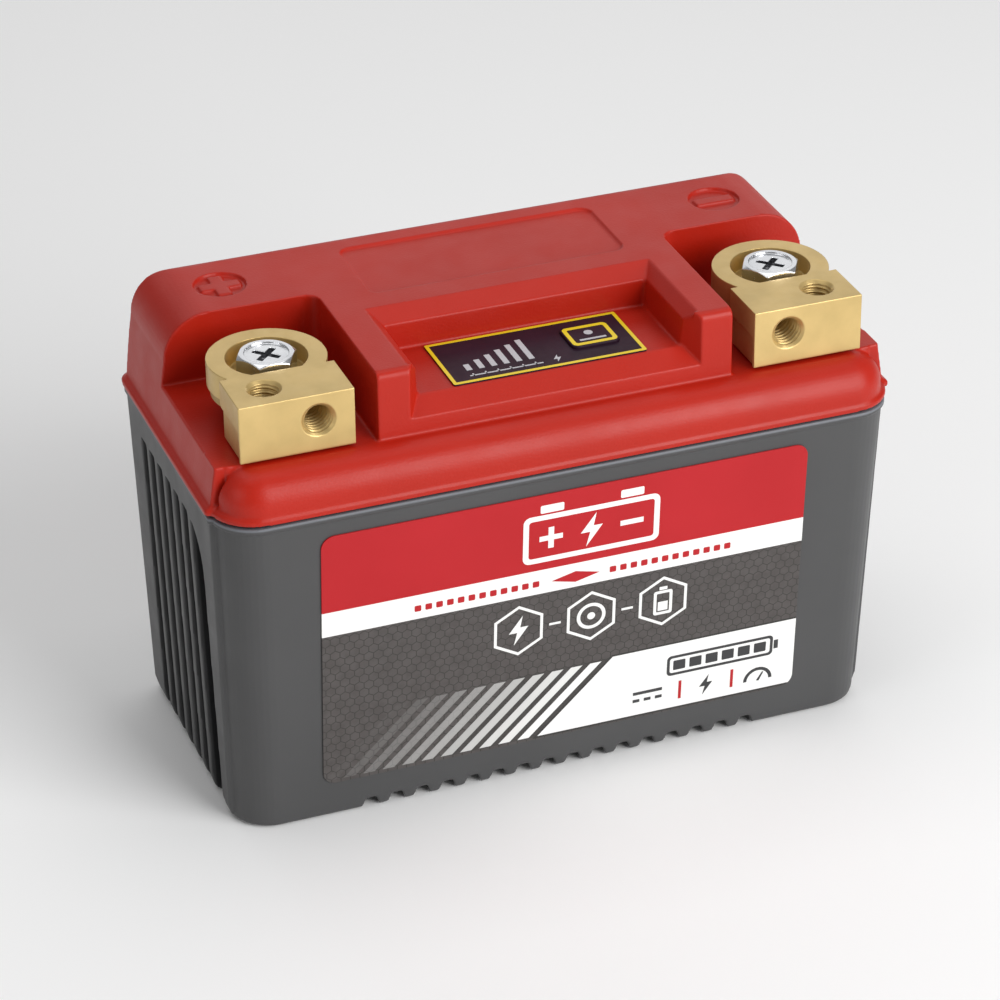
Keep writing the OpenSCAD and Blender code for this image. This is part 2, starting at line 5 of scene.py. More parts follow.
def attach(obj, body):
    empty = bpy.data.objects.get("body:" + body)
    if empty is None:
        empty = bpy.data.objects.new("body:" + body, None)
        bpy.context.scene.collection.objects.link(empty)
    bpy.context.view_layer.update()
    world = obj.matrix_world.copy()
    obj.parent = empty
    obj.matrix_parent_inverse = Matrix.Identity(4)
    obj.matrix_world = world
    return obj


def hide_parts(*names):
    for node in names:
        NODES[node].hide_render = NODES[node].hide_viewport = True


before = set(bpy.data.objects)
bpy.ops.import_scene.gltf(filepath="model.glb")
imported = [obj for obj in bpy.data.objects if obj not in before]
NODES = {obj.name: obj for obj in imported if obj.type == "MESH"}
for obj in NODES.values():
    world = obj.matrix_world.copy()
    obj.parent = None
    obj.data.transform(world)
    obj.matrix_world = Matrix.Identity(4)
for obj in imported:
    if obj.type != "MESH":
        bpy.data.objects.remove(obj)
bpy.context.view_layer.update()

MM = 0.001


# ------------------------------------------------------------------ helpers
def link(ob):
    bpy.context.scene.collection.objects.link(ob)
    return ob


def mesh_ob(name, verts, faces, smooth=False):
    me = bpy.data.meshes.new(name)
    me.from_pydata([tuple(v) for v in verts], [], faces)
    me.update()
    bm = bmesh.new()
    bm.from_mesh(me)
    bmesh.ops.recalc_face_normals(bm, faces=bm.faces)
    bm.to_mesh(me)
    bm.free()
    for p in me.polygons:
        p.use_smooth = smooth
    return link(bpy.data.objects.new(name, me))


def settle(ob):
    """Turns the modifiers of ob into plain mesh data."""
    dg = bpy.context.evaluated_depsgraph_get()
    dg.update()
    me = bpy.data.meshes.new_from_object(ob.evaluated_get(dg))
    old = ob.data
    ob.modifiers.clear()
    ob.data = me
    bpy.data.meshes.remove(old)
    return ob


def copy_node(node, name):
    me = NODES[node].data.copy()
    bm = bmesh.new()
    bm.from_mesh(me)
    bmesh.ops.remove_doubles(bm, verts=bm.verts, dist=2e-6)
    bm.to_mesh(me)
    bm.free()
    me.materials.clear()
    ob = link(bpy.data.objects.new(name, me))
    ob.matrix_world = NODES[node].matrix_world.copy()
    return ob


def soften(ob, voxel, iters, ratio=None, factor=0.5):
    m = ob.modifiers.new("r", "REMESH")
    m.mode = "VOXEL"
    m.voxel_size = voxel
    m.adaptivity = 0.0
    if iters:
        m = ob.modifiers.new("s", "SMOOTH")
        m.factor = factor
        m.iterations = iters
    if ratio:
        m = ob.modifiers.new("d", "DECIMATE")
        m.ratio = ratio
    settle(ob)
    for p in ob.data.polygons:
        p.use_smooth = True
    return ob


def cut(ob, cutter):
    m = ob.modifiers.new("b", "BOOLEAN")
    m.operation = "DIFFERENCE"
    m.solver = "EXACT"
    m.object = cutter
    settle(ob)
    bpy.data.objects.remove(cutter, do_unlink=True)
    return ob


def cyl(name, p, axis, r, h, n=64):
    """Closed cylinder from p along axis."""
    bm = bmesh.new()
    bmesh.ops.create_cone(bm, cap_ends=True, segments=n, radius1=r, radius2=r, depth=h)
    me = bpy.data.meshes.new(name)
    bm.to_mesh(me)
    bm.free()
    ob = link(bpy.data.objects.new(name, me))
    q = Vector((0, 0, 1)).rotation_difference(Vector(axis))
    me.transform(Matrix.Translation(Vector(p) + Vector(axis) * h / 2) @ q.to_matrix().to_4x4())
    return ob


def rounded(x0, y0, x1, y1, r, n=8):
    pts = []
    for cx, cy, a0 in ((x1 - r, y1 - r, 0), (x0 + r, y1 - r, 90), (x0 + r, y0 + r, 180), (x1 - r, y0 + r, 270)):
        for i in range(n + 1):
            a = math.radians(a0 + 90 * i / n)
            pts.append((cx + r * math.cos(a), cy + r * math.sin(a)))
    return pts


def prism(name, outline, z0, z1, holes=(), M=Matrix.Identity(4), bevel=0.0):
    """Closed plate with the given outline and holes, in mm, placed by M."""
    bm = bmesh.new()
    loops = [outline] + list(holes)
    edges = []
    for lp in loops:
        vs = [bm.verts.new((x * MM, y * MM, z0 * MM)) for x, y in lp]
        for i in range(len(vs)):
            edges.append(bm.edges.new((vs[i], vs[(i + 1) % len(vs)])))
    bmesh.ops.triangle_fill(bm, use_beauty=True, use_dissolve=False, edges=edges)
    ext = bmesh.ops.extrude_face_region(bm, geom=list(bm.faces))
    up = [g for g in ext["geom"] if isinstance(g, bmesh.types.BMVert)]
    bmesh.ops.translate(bm, verts=up, vec=(0, 0, (z1 - z0) * MM))
    bmesh.ops.recalc_face_normals(bm, faces=bm.faces)
    me = bpy.data.meshes.new(name)
    bm.to_mesh(me)
    bm.free()
    ob = link(bpy.data.objects.new(name, me))
    ob.matrix_world = M
    if bevel:
        m = ob.modifiers.new("bev", "BEVEL")
        m.width = bevel * MM
        m.segments = 2
        m.limit_method = "ANGLE"
        m.angle_limit = math.radians(50)
        settle(ob)
    return ob


def thread(name, p, axis, length, r_in=2.52, r_out=3.0, r_back=3.12, pitch=1.0, nt=56, per=8):
    """Screw thread lining a hole, a closed sleeve with a helical inner face; mm, p at the mouth, axis into the hole."""
    nz = int(round(length / pitch * per))
    verts, faces = [], []
    for j in range(nz + 1):
        z = length * j / nz
        for i in range(nt):
            a = 2 * math.pi * i / nt
            t = (z / pitch - i / nt) % 1.0
            w = abs(2 * t - 1)
            w = min(max((w - 0.12) / 0.76, 0), 1)
            r = r_in + (r_out - r_in) * w
            verts.append((r * math.cos(a), r * math.sin(a), z))
    n0 = len(verts)
    for z in (0, length):
        for i in range(nt):
            a = 2 * math.pi * i / nt
            verts.append((r_back * math.cos(a), r_back * math.sin(a), z))
    for j in range(nz):
        for i in range(nt):
            k = (i + 1) % nt
            faces.append((j * nt + i, j * nt + k, (j + 1) * nt + k, (j + 1) * nt + i))
    for i in range(nt):
        k = (i + 1) % nt
        faces.append((n0 + i, n0 + k, k, i))
        faces.append((nz * nt + i, nz * nt + k, n0 + nt + k, n0 + nt + i))
        faces.append((n0 + nt + i, n0 + nt + k, n0 + k, n0 + i))
    ax = Vector(axis).normalized()
    q = Vector((0, 0, 1)).rotation_difference(ax)
    M = Matrix.Translation(Vector(p) * MM) @ q.to_matrix().to_4x4() @ Matrix.Scale(MM, 4)
    ob = mesh_ob(name, [M @ Vector(v) for v in verts], faces, smooth=True)
    return ob


# ------------------------------------------------------------------ materials
def material(name):
    mat = bpy.data.materials.new(name)
    mat.use_nodes = True
    nt = mat.node_tree
    b = nt.nodes["Principled BSDF"]
    return mat, nt, b


def N(nt, kind, **kw):
    n = nt.nodes.new(kind)
    for k, v in kw.items():
        setattr(n, k, v)
    return n


def ramp(nt, src, stops, interp="LINEAR"):
    r = N(nt, "ShaderNodeValToRGB")
    r.color_ramp.interpolation = interp
    els = r.color_ramp.elements
    while len(els) < len(stops):
        els.new(0.5)
    for e, (p, c) in zip(els, stops):
        e.position = p
        e.color = c if len(c) == 4 else (*c, 1)
    nt.links.new(src, r.inputs["Fac"])
    return r


def noise(nt, coord, scale, detail=3.0, rough=0.5):
    n = N(nt, "ShaderNodeTexNoise")
    n.inputs["Scale"].default_value = scale
    n.inputs["Detail"].default_value = detail
    n.inputs["Roughness"].default_value = rough
    nt.links.new(coord, n.inputs["Vector"])
    return n


def coords(nt):
    return N(nt, "ShaderNodeTexCoord").outputs["Object"]


def plastic(name, col, rough, var=0.06, bump=0.04, grain=2600, big=60, spec=0.5, coat=0.0):
    """Moulded plastic: slight tone drift, uneven sheen and a fine grain."""
    mat, nt, b = material(name)
    co = coords(nt)
    n1 = noise(nt, co, big, 3)
    c0 = tuple(max(c * (1 - var), 0) for c in col)
    c1 = tuple(min(c * (1 + var), 1) for c in col)
    r = ramp(nt, n1.outputs["Fac"], [(0.3, c0), (0.7, c1)])
    nt.links.new(r.outputs["Color"], b.inputs["Base Color"])
    n2 = noise(nt, co, big * 4.3, 4)
    mr = N(nt, "ShaderNodeMapRange")
    mr.inputs["From Min"].default_value = 0.3
    mr.inputs["From Max"].default_value = 0.7
    mr.inputs["To Min"].default_value = rough - 0.05
    mr.inputs["To Max"].default_value = rough + 0.05
    nt.links.new(n2.outputs["Fac"], mr.inputs["Value"])
    nt.links.new(mr.outputs["Result"], b.inputs["Roughness"])
    b.inputs["Specular IOR Level"].default_value = spec
    b.inputs["Coat Weight"].default_value = coat
    n3 = noise(nt, co, grain, 2)
    bp = N(nt, "ShaderNodeBump")
    bp.inputs["Strength"].default_value = bump
    bp.inputs["Distance"].default_value = 0.0002
    nt.links.new(n3.outputs["Fac"], bp.inputs["Height"])
    nt.links.new(bp.outputs["Normal"], b.inputs["Normal"])
    return mat


def metal(name, col, rough, var=0.08, bump=0.05, grain=900, stretch=(1, 1, 1), col2=None, metallic=1.0):
    mat, nt, b = material(name)
    co = coords(nt)
    mp = N(nt, "ShaderNodeMapping")
    mp.inputs["Scale"].default_value = stretch
    nt.links.new(co, mp.inputs["Vector"])
    n1 = noise(nt, mp.outputs["Vector"], 120, 4)
    c0 = tuple(c * (1 - var) for c in col) if col2 is None else col2
    r = ramp(nt, n1.outputs["Fac"], [(0.25, c0), (0.65, col)])
    nt.links.new(r.outputs["Color"], b.inputs["Base Color"])
    b.inputs["Metallic"].default_value = metallic
    n2 = noise(nt, mp.outputs["Vector"], 420, 4, 0.6)
    mr = N(nt, "ShaderNodeMapRange")
    mr.inputs["From Min"].default_value = 0.3
    mr.inputs["From Max"].default_value = 0.7
    mr.inputs["To Min"].default_value = max(rough - 0.07, 0.03)
    mr.inputs["To Max"].default_value = rough + 0.07
    nt.links.new(n2.outputs["Fac"], mr.inputs["Value"])
    nt.links.new(mr.outputs["Result"], b.inputs["Roughness"])
    n3 = noise(nt, mp.outputs["Vector"], grain, 3)
    bp = N(nt, "ShaderNodeBump")
    bp.inputs["Strength"].default_value = bump
    bp.inputs["Distance"].default_value = 0.00015
    nt.links.new(n3.outputs["Fac"], bp.inputs["Height"])
    nt.links.new(bp.outputs["Normal"], b.inputs["Normal"])
    return mat


def math_node(nt, op, a, b=None, c=None):
    n = N(nt, "ShaderNodeMath", operation=op)
    for i, v in enumerate((a, b, c)):
        if v is None:
            continue
        if isinstance(v, (int, float)):
            n.inputs[i].default_value = v
        else:
            nt.links.new(v, n.inputs[i])
    return n.outputs[0]


def mix_col(nt, fac, a, b):
    m = N(nt, "ShaderNodeMix", data_type="RGBA")
    if isinstance(fac, (int, float)):
        m.inputs["Factor"].default_value = fac
    else:
        nt.links.new(fac, m.inputs["Factor"])
    for key, v in (("A", a), ("B", b)):
        sock = [s for s in m.inputs if s.name == key and s.type == "RGBA"][0]
        if isinstance(v, tuple):
            sock.default_value = (*v, 1)
        else:
            nt.links.new(v, sock)
    return [s for s in m.outputs if s.type == "RGBA"][0]


RED = (0.41, 0.012, 0.003)
GREY = (0.060, 0.060, 0.061)

m_cover = plastic("cover_red_plastic", RED, 0.40, var=0.05, bump=0.16, grain=2400, big=35, spec=0.30)
m_case = plastic("case_grey_plastic", GREY, 0.46, var=0.06, bump=0.05, grain=2400, big=30, spec=0.40)


def paint_case_shade_and_reflection(mat):
    """Paints shade on the floors of the end grooves and a painted reflection on the lip under the seal. Local axes are
    the case's own, in metres.
    """
    nt = mat.node_tree
    b = nt.nodes["Principled BSDF"]
    src = b.inputs["Base Color"].links[0].from_socket
    sep = N(nt, "ShaderNodeSeparateXYZ")
    nt.links.new(coords(nt), sep.inputs[0])
    ax = math_node(nt, "ABSOLUTE", sep.outputs["X"])
    y, z = sep.outputs["Y"], sep.outputs["Z"]
    wall = math_node(nt, "ADD", math_node(nt, "MULTIPLY", z, 1.8 / 67.3), 63.95 * MM)
    d = math_node(nt, "SUBTRACT", wall, ax)
    mr = N(nt, "ShaderNodeMapRange")
    mr.interpolation_type = "SMOOTHSTEP"
    mr.inputs["From Min"].default_value = 0.08 * MM
    mr.inputs["From Max"].default_value = 0.55 * MM
    nt.links.new(d, mr.inputs["Value"])
    m = mr.outputs["Result"]
    for sock, op, lim in ((y, "GREATER_THAN", -18.6), (y, "LESS_THAN", 22.4), (z, "LESS_THAN", 61.8), (ax, "GREATER_THAN", 59.5)):
        m = math_node(nt, "MULTIPLY", m, math_node(nt, op, sock, lim * MM))
    # painted shade: the end-groove floors are mixed towards near black
    col = mix_col(nt, math_node(nt, "MULTIPLY", m, 0.93), src, (0.006, 0.006, 0.007))
    # painted reflection: a pale blue-grey band along the top lip stands in for the light the lip reflects under the
    # seal
    lip = N(nt, "ShaderNodeMapRange")
    lip.inputs["From Min"].default_value = 66.70 * MM
    lip.inputs["From Max"].default_value = 66.95 * MM
    nt.links.new(z, lip.inputs["Value"])
    col = mix_col(nt, math_node(nt, "MULTIPLY", lip.outputs["Result"], 0.8), col, (0.17, 0.18, 0.20))
    nt.links.new(col, b.inputs["Base Color"])


# the case material gets painted groove shade and a painted lip reflection
paint_case_shade_and_reflection(m_case)
m_rubber = plastic("black_gasket", (0.012, 0.013, 0.017), 0.5, var=0.2, bump=0.03)
m_black = plastic("black_plastic", (0.016, 0.016, 0.018), 0.45, var=0.2)
m_white = plastic("white_plastic", (0.72, 0.72, 0.69), 0.4, var=0.03)
m_board = plastic("solder_mask", (0.012, 0.10, 0.035), 0.3, var=0.15)
m_clear = plastic("clear_plastic", (0.72, 0.78, 0.78), 0.2, var=0.04)
m_cable = plastic("cable_jacket", (0.42, 0.42, 0.44), 0.45, var=0.05)
m_sleeve = plastic("cell_sleeve", (0.02, 0.10, 0.36), 0.3, var=0.08)
m_press = plastic("pressboard", (0.50, 0.38, 0.18), 0.7, var=0.15, bump=0.2)
m_foam = plastic("foam", (0.03, 0.03, 0.032), 0.85, var=0.3, bump=0.4, grain=1500)
m_chip = plastic("chip_grey", (0.08, 0.08, 0.09), 0.4, var=0.1)
m_lead = plastic("lead_red", (0.42, 0.015, 0.015), 0.4, var=0.06)
m_brass = metal("milled_brass", (0.66, 0.475, 0.195), 0.36, bump=0.05, grain=700, col2=(0.53, 0.38, 0.15), metallic=0.62)
# darker copy of the brass: painted shade for the terminal bases that sit in the shaded bolt pockets
m_brass_pocket_shade = metal("turned_brass_pocket_shade", (0.46, 0.33, 0.13), 0.40, bump=0.03, col2=(0.36, 0.25, 0.09), metallic=0.62)
m_zinc = metal("bright_zinc", (0.86, 0.87, 0.89), 0.20, bump=0.06, grain=900, col2=(0.74, 0.75, 0.78))
m_bolt = metal("bolt_zinc", (0.80, 0.81, 0.83), 0.22, bump=0.06, grain=900, col2=(0.66, 0.67, 0.70))


def paint_bolt_recess_shade(mat):
    """Paints shade inside the cross recess. Local axes are the bolt's own, in metres."""
    nt = mat.node_tree
    b = nt.nodes["Principled BSDF"]
    src = b.inputs["Base Color"].links[0].from_socket
    sep = N(nt, "ShaderNodeSeparateXYZ")
    nt.links.new(coords(nt), sep.inputs[0])
    dx = math_node(nt, "SUBTRACT", math_node(nt, "ABSOLUTE", sep.outputs["X"]), 49.5 * MM)
    dy = math_node(nt, "ADD", sep.outputs["Y"], 8.4 * MM)
    r2 = math_node(nt, "ADD", math_node(nt, "MULTIPLY", dx, dx), math_node(nt, "MULTIPLY", dy, dy))
    m = math_node(nt, "LESS_THAN", r2, (2.95 * MM) ** 2)
    m = math_node(nt, "MULTIPLY", m, math_node(nt, "GREATER_THAN", sep.outputs["Z"], 87.5 * MM))
    m = math_node(nt, "MULTIPLY", m, math_node(nt, "LESS_THAN", sep.outputs["Z"], 89.05 * MM))
    # painted shade: the head centre within the recess is mixed towards dark grey
    col = mix_col(nt, math_node(nt, "MULTIPLY", m, 0.62), src, (0.10, 0.10, 0.11))
    nt.links.new(col, b.inputs["Base Color"])


paint_bolt_recess_shade(m_bolt)
m_copper = metal("copper_strip", (0.80, 0.38, 0.22), 0.35, col2=(0.66, 0.28, 0.15))
m_nickel = metal("nickel_strip", (0.66, 0.65, 0.62), 0.32)
m_yellow = plastic("yellow_print", (0.80, 0.60, 0.01), 0.35, var=0.04, bump=0.0)
m_silver = plastic("silver_print", (0.50, 0.50, 0.53), 0.35, var=0.04, bump=0.0)
m_plum = plastic("plum_film", (0.022, 0.008, 0.018), 0.42, var=0.20, bump=0.0, big=120, spec=0.15)
m_whiteprint = plastic("white_print", (0.82, 0.82, 0.80), 0.40, var=0.02, bump=0.0)
m_darkprint = plastic("dark_print", (0.03, 0.03, 0.032), 0.40, var=0.05, bump=0.0)
m_redprint = plastic("red_print", (0.43, 0.011, 0.016), 0.40, var=0.03, bump=0.0, spec=0.25)


def label_material():
    """Printed film: red band, white strip, honeycomb field, fading slanted stripes and a white corner box. Local x and y are in metres on the film."""
    mat, nt, b = material("printed_label")
    sep = N(nt, "ShaderNodeSeparateXYZ")
    nt.links.new(coords(nt), sep.inputs[0])
    u = math_node(nt, "MULTIPLY", sep.outputs["X"], 1000.0)
    v = math_node(nt, "MULTIPLY", sep.outputs["Y"], 1000.0)
    # honeycomb: distance to the nearest of two interleaved hexagon lattices
    p = 1.85
    q = p * math.sqrt(3)

    def cell_edge(uo, vo):
        du = math_node(nt, "SUBTRACT", math_node(nt, "FLOORED_MODULO", math_node(nt, "ADD", u, uo), p), p / 2)
        dv = math_node(nt, "SUBTRACT", math_node(nt, "FLOORED_MODULO", math_node(nt, "ADD", v, vo), q), q / 2)
        ax = math_node(nt, "ABSOLUTE", du)
        ay = math_node(nt, "ABSOLUTE", dv)
        slant = math_node(nt, "ADD", math_node(nt, "MULTIPLY", ax, 0.5), math_node(nt, "MULTIPLY", ay, math.sqrt(3) / 2))
        return math_node(nt, "MAXIMUM", ax, slant)

    d = math_node(nt, "MINIMUM", cell_edge(50 * p, 50 * q), cell_edge(50.5 * p, 50.5 * q))
    line = math_node(nt, "GREATER_THAN", d, p / 2 - 0.085)
    tone = noise(nt, coords(nt), 420, 2)
    cellc = ramp(nt, tone.outputs["Fac"], [(0.35, (0.070, 0.063, 0.060)), (0.65, (0.084, 0.076, 0.073))])
    col = mix_col(nt, line, cellc.outputs["Color"], (0.042, 0.038, 0.036))
    # slanted stripes
    s = math_node(nt, "SUBTRACT", u, v)
    edge = -13.9
    pitch = 3.85
    t = math_node(nt, "SUBTRACT", edge, s)
    k = math_node(nt, "FLOOR", math_node(nt, "DIVIDE", t, pitch))
    f = math_node(nt, "FLOORED_MODULO", t, pitch)
    on = math_node(nt, "MULTIPLY", math_node(nt, "GREATER_THAN", f, 1.55), math_node(nt, "LESS_THAN", k, 10.5))
    on = math_node(nt, "MULTIPLY", on, math_node(nt, "GREATER_THAN", t, 0.0))
    on = math_node(nt, "MULTIPLY", on, math_node(nt, "LESS_THAN", v, 22.9))
    on = math_node(nt, "MULTIPLY", on, math_node(nt, "GREATER_THAN", v, 8.5))
    fade = math_node(nt, "SUBTRACT", 1.0, math_node(nt, "MULTIPLY", k, 0.095))
    fade = math_node(nt, "POWER", math_node(nt, "MAXIMUM", fade, 0.0), 1.5)
    dark = math_node(nt, "MULTIPLY", math_node(nt, "GREATER_THAN", t, -0.1), math_node(nt, "LESS_THAN", t, 19.0))
    dark = math_node(nt, "MULTIPLY", dark, math_node(nt, "LESS_THAN", v, 23.3))
    dark = math_node(nt, "MULTIPLY", dark, math_node(nt, "GREATER_THAN", v, 8.3))
    col = mix_col(nt, math_node(nt, "MULTIPLY", dark, 0.65), col, (0.046, 0.042, 0.040))
    col = mix_col(nt, math_node(nt, "MULTIPLY", on, fade), col, (0.82, 0.82, 0.80))
    # white corner box with a dark outline
    for g, c in ((0.42, (0.040, 0.038, 0.036)), (0.0, (0.84, 0.84, 0.82))):
        m = math_node(nt, "MULTIPLY", math_node(nt, "GREATER_THAN", s, edge - g * 1.4 + 0.25), math_node(nt, "LESS_THAN", v, 23.4 + g))
        m = math_node(nt, "MULTIPLY", m, math_node(nt, "GREATER_THAN", v, 8.45 - g))
        col = mix_col(nt, m, col, c)
    # white strip and red band
    m = math_node(nt, "GREATER_THAN", v, 41.4)
    col = mix_col(nt, m, col, (0.84, 0.84, 0.82))
    m = math_node(nt, "GREATER_THAN", v, 46.7)
    redn = noise(nt, coords(nt), 60, 2)
    redc = ramp(nt, redn.outputs["Fac"], [(0.3, (0.42, 0.010, 0.014)), (0.7, (0.45, 0.012, 0.017))])
    col = mix_col(nt, m, col, redc.outputs["Color"])
    nt.links.new(col, b.inputs["Base Color"])
    rn = noise(nt, coords(nt), 180, 3)
    mr = N(nt, "ShaderNodeMapRange")
    mr.inputs["To Min"].default_value = 0.36
    mr.inputs["To Max"].default_value = 0.46
    nt.links.new(rn.outputs["Fac"], mr.inputs["Value"])
    nt.links.new(mr.outputs["Result"], b.inputs["Roughness"])
    b.inputs["Specular IOR Level"].default_value = 0.25
    return mat


m_label = label_material()


def paint(ob, mat):
    ob.data.materials.clear()
    ob.data.materials.append(mat)


def put(ob, mat, body, replaces=()):
    paint(ob, mat)
    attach(ob, body)
    if replaces:
        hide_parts(*replaces)
    return ob


# carried-over CAD nodes get their own procedural finishes
FINISH = {
    "cover_gasket": m_rubber, "switch_plunger": m_white, "switch_body": m_black, "gauge_board": m_board,
    "gauge_leds": m_clear, "light_guide": m_clear, "gauge_board_screws": m_zinc, "gauge_cable": m_cable,
    # the terminal bases take the darker brass, which paints the shade of the bolt pockets
    "terminal_base_positive": m_brass_pocket_shade, "terminal_base_negative": m_brass_pocket_shade,
    "terminal_washer_positive": m_zinc, "terminal_washer_negative": m_zinc,
    "terminal_seal_positive": m_rubber, "terminal_seal_negative": m_rubber,
    "busbar_positive": m_copper, "busbar_negative": m_copper,
    "cell_1": m_sleeve, "cell_2": m_sleeve, "cell_3": m_sleeve, "cell_4": m_sleeve,
    "cell_holder_top": m_black, "cell_holder_bottom": m_black,
    "cell_links_bottom": m_nickel, "cell_link_top": m_nickel, "base_pad": m_press,
    "foam_front": m_foam, "foam_rear": m_foam, "balance_board": m_board, "balance_board_screws": m_zinc,
    "balance_chips": m_black, "balance_resistors": m_chip, "balance_connector": m_white, "balance_leads": m_lead,
}
for name, mat in FINISH.items():
    ob = NODES[name]
    if not ob.material_slots:
        ob.data.materials.append(mat)
    for sl in ob.material_slots:
        sl.material = mat

# ------------------------------------------------------------------ cover and case
cover = soften(copy_node("cover", "cover_shell"), 0.25 * MM, 4, 0.14)
put(cover, m_cover, "battery", ("cover",))
case = soften(copy_node("case", "case_shell"), 0.25 * MM, 2, 0.12)
put(case, m_case, "battery", ("case",))

# ------------------------------------------------------------------ terminal blocks
for side, s in (("positive", -1), ("negative", 1)):
    node = "terminal_block_" + side
    fx, tx = 45.5 * s, 53.7 * s
    blk = copy_node(node, "brass_block_" + side)
    cut(blk, cyl("c", (fx * MM, -25.1 * MM, 83.7 * MM), (0, 1, 0), 3.06 * MM, 7.86 * MM))
    cut(blk, cyl("c", (tx * MM, -20 * MM, 88.1 * MM), (0, 0, -1), 3.06 * MM, 10.45 * MM))
    soften(blk, 0.13 * MM, 3, 0.3)
    put(blk, m_brass, "battery", (node,))
    t1 = thread("thread_front_" + side, (fx, -25.15, 83.7), (0, 1, 0), 7.8)
    t2 = thread("thread_top_" + side, (tx, -20, 88.15), (0, 0, -1), 10.4)
    for t in (t1, t2):
        put(t, m_brass, "battery")
    bolt = soften(copy_node("terminal_bolt_" + side, "hex_bolt_" + side), 0.10 * MM, 3, 0.35)
    put(bolt, m_bolt, "bolt_" + side, ("terminal_bolt_" + side,))

# ------------------------------------------------------------------ front label
ang = math.atan((-26.8 + (64.5 / 2 - 0.6)) / 67.3)


def decal(name, shapes, mat, M, z0, z1, body="battery"):
    """Several thin printed shapes joined into one piece. Each shape is (outline, holes)."""
    obs = [prism(name, o, z0, z1, holes=h, M=M) for o, h in shapes]
    bm = bmesh.new()
    for o in obs:
        bm.from_mesh(o.data)
        me = o.data
        bpy.data.objects.remove(o, do_unlink=True)
        bpy.data.meshes.remove(me)
    me = bpy.data.meshes.new(name)
    bm.to_mesh(me)
    bm.free()
    ob = link(bpy.data.objects.new(name, me))
    ob.matrix_world = M
    return put(ob, mat, body)


def rect(x, y, w, h, r=None):
    if r is None:
        return [(x, y), (x + w, y), (x + w, y + h), (x, y + h)]
    return rounded(x, y, x + w, y + h, r, 5)


def disc(x, y, r, n=32):
    return [(x + r * math.cos(2 * math.pi * i / n), y + r * math.sin(2 * math.pi * i / n)) for i in range(n)]


def hexa(x, y, r):
    return [(x + r * math.cos(math.radians(60 * i + 30)), y + r * math.sin(math.radians(60 * i + 30))) for i in range(6)]


def flash(x, y, h):
    """Lightning sign of height h centred on x, y."""
    k = h / 10
    return [(x + k * a, y + k * b) for a, b in ((1.2, 5), (-3.0, -0.7), (-0.4, -0.7), (-1.4, -5), (3.0, 1.1), (0.5, 1.1))]


def plus(x, y, a, t):
    b = t / 2
    return [(x - b, y - a), (x + b, y - a), (x + b, y - b), (x + a, y - b), (x + a, y + b), (x + b, y + b),
            (x + b, y + a), (x - b, y + a), (x - b, y + b), (x - a, y + b), (x - a, y - b), (x - b, y - b)]


ML = Matrix.Translation((0, -26.8 * MM, 0)) @ Matrix.Rotation(math.radians(90) + ang, 4, "X")
lab = prism("label_film", rounded(-47.8, 7.7, 47.6, 63.2, 2.6), 0.02, 0.32, M=ML, bevel=0.08)
put(lab, m_label, "battery", ("front_label",))
P0, P1 = 0.30, 0.345
# battery sign in the red band
cx, cy = 4.5, 53.6
decal("print_band_sign", [
    (rect(cx - 13.5, cy - 5.2, 27, 10.4, 1.4), [rect(cx - 12.4, cy - 4.1, 24.8, 8.2, 0.6)]),
    (rect(cx - 10.2, cy + 5.6, 4.6, 1.7, 0.3), []),
    (rect(cx + 5.6, cy + 5.6, 4.6, 1.7, 0.3), []),
    (plus(cx - 8.0, cy, 2.3, 1.1), []),
    (rect(cx + 5.7, cy - 0.55, 4.6, 1.1), []),
    (flash(cx, cy, 7.2), []),
], m_whiteprint, ML, P0, P1)
# row of marks in the white strip
marks = [(rect(-30 + 2.1 * i, 43.05, 1.3, 1.3, 0.25), []) for i in range(12)]
marks += [(rect(8.4 + 2.1 * i, 43.05, 1.3, 1.3, 0.25), []) for i in range(12)]
marks += [([(-3.2, 43.7), (1.6, 42.5), (6.4, 43.7), (1.6, 44.9)], [])]
decal("print_strip_marks", marks, m_redprint, ML, P0, P1)
# three signs in the dark field: flash, wheel, cell
signs = []
for hx_ in (-9.5, 5.0, 19.5):
    signs.append((hexa(hx_, 34.0, 5.6), [hexa(hx_, 34.0, 4.95)]))
signs.append((flash(-9.5, 34.0, 6.4), []))
signs.append((disc(5.0, 34.0, 2.9), [disc(5.0, 34.0, 2.2)]))
signs.append((disc(5.0, 34.0, 0.8, 16), []))
signs.append((rect(17.6, 31.0, 3.8, 5.4, 0.5), [rect(18.2, 31.6, 2.6, 4.2, 0.2)]))
signs.append((rect(18.7, 36.6, 1.6, 0.7), []))
signs.append((rect(18.5, 31.9, 2.0, 2.0), []))
signs.append((rect(-3.4, 33.75, 2.3, 0.5), []))
signs.append((rect(11.1, 33.75, 2.3, 0.5), []))
decal("print_field_signs", signs, m_whiteprint, ML, P0, P1)
# level meter and three rating signs in the white corner box
box = [(rect(21.0, 16.0, 22.0, 4.6, 0.9), [rect(21.6, 16.6, 20.8, 3.4, 0.5)]), (rect(43.2, 17.3, 0.9, 2.0), [])]
box += [(rect(22.3 + i * 3.35, 17.2, 2.5, 2.2, 0.2), []) for i in range(6)]
box += [(rect(14.2, 13.1, 6.0, 0.7), []), (rect(14.2, 11.4, 1.4, 0.7), []), (rect(16.5, 11.4, 1.4, 0.7), []), (rect(18.8, 11.4, 1.4, 0.7), [])]
box += [(flash(29.3, 12.2, 4.6), [])]
arc_o = [(40.2 + 3.0 * math.cos(math.radians(a)), 10.6 + 3.0 * math.sin(math.radians(a))) for a in range(0, 181, 12)]
arc_i = [(40.2 + 2.3 * math.cos(math.radians(a)), 10.6 + 2.3 * math.sin(math.radians(a))) for a in range(180, -1, -12)]
